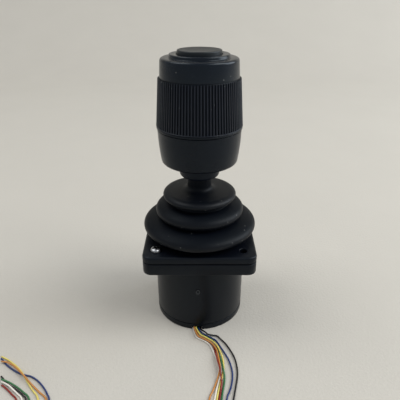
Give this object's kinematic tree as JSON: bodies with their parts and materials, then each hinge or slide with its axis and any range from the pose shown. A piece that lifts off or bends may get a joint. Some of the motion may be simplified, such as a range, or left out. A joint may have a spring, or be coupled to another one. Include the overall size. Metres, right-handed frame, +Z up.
{
  "type": "industrial joystick",
  "caption": "Panel-mount hall-effect finger joystick with a twisting ribbed knob, push button, bellows boot, square flange, round body and flying leads.",
  "frame": {"origin": "middle of the body's underside", "axes": "+Z up along the stick at rest, the leads leave the body towards -Y, flange sides along X and Y"},
  "size_m": [0.1147, 0.1381, 0.1253],
  "materials": {
    "housing": "satin",
    "bezel": "fine matt grain",
    "knob_shell": "fine matt grain",
    "grip_rubber": "matt",
    "boot_rubber": "matt",
    "button_plastic": "matt",
    "collar_plastic": "satin",
    "steel": "satin",
    "spring_steel": "satin",
    "zinc": "cast",
    "bronze": "sintered",
    "nylon": "matt",
    "board": "solder mask",
    "magnet": "sintered",
    "chip": "matt",
    "grommet_rubber": "matt",
    "lead_black": "satin",
    "lead_blue": "satin",
    "lead_green": "satin",
    "lead_red": "satin",
    "lead_yellow": "satin",
    "lead_white": "satin",
    "lead_orange": "satin"
  },
  "bodies": {
    "housing": {"housing": "housing", "bezel_plate": "bezel", "clamp_screws": "steel", "boot": "boot_rubber", "end_cap": "housing", "lead_grommet": "grommet_rubber", "gate_plate": "nylon", "spacer_tube": "nylon", "sensor_board": "board", "hall_chips": "chip", "axle_bushings": "bronze", "x_spring": "spring_steel", "lead_black": "lead_black", "lead_blue": "lead_blue", "lead_green": "lead_green", "lead_red": "lead_red", "lead_yellow": "lead_yellow", "lead_white": "lead_white", "lead_orange": "lead_orange"},
    "gimbal": {"gimbal_ring": "zinc", "outer_axles": "steel", "y_spring": "spring_steel"},
    "stick": {"shaft": "steel", "pivot_block": "zinc", "inner_axles": "steel", "magnet_holder": "nylon", "stick_magnet": "magnet", "collar": "collar_plastic", "set_screw": "steel", "retaining_ring": "spring_steel", "twist_board": "board", "twist_chip": "chip", "thrust_washer": "nylon"},
    "knob": {"knob_base": "knob_shell", "grip_sleeve": "grip_rubber", "top_cap": "knob_shell", "twist_magnet": "magnet", "twist_spring": "spring_steel", "switch_plate": "board", "push_switch": "chip", "button_spring": "spring_steel"},
    "button": {"button_cap": "button_plastic", "switch_plunger": "nylon"}
  },
  "joints": [
    {"name": "tilt_x", "type": "hinge", "parent": "housing", "child": "gimbal", "pos_m": [0, 0, 0.035], "axis": [1, 0, 0], "range_deg": [-20, 20], "stiffness_Nm_per_rad": 0.6, "deforming": ["boot", "x_spring"]},
    {"name": "tilt_y", "type": "hinge", "parent": "gimbal", "child": "stick", "pos_m": [0, 0, 0.035], "axis": [0, 1, 0], "range_deg": [-20, 20], "stiffness_Nm_per_rad": 0.6, "deforming": ["boot", "y_spring"]},
    {"name": "twist", "type": "hinge", "parent": "stick", "child": "knob", "pos_m": [0, 0, 0.08], "axis": [0, 0, 1], "range_deg": [-30, 30], "stiffness_Nm_per_rad": 0.1, "deforming": ["twist_spring"]},
    {"name": "button_press", "type": "slide", "parent": "knob", "child": "button", "axis": [0, 0, -1], "range_m": [0, 0.0012], "stiffness_N_per_m": 600, "deforming": ["button_spring"]}
  ]
}
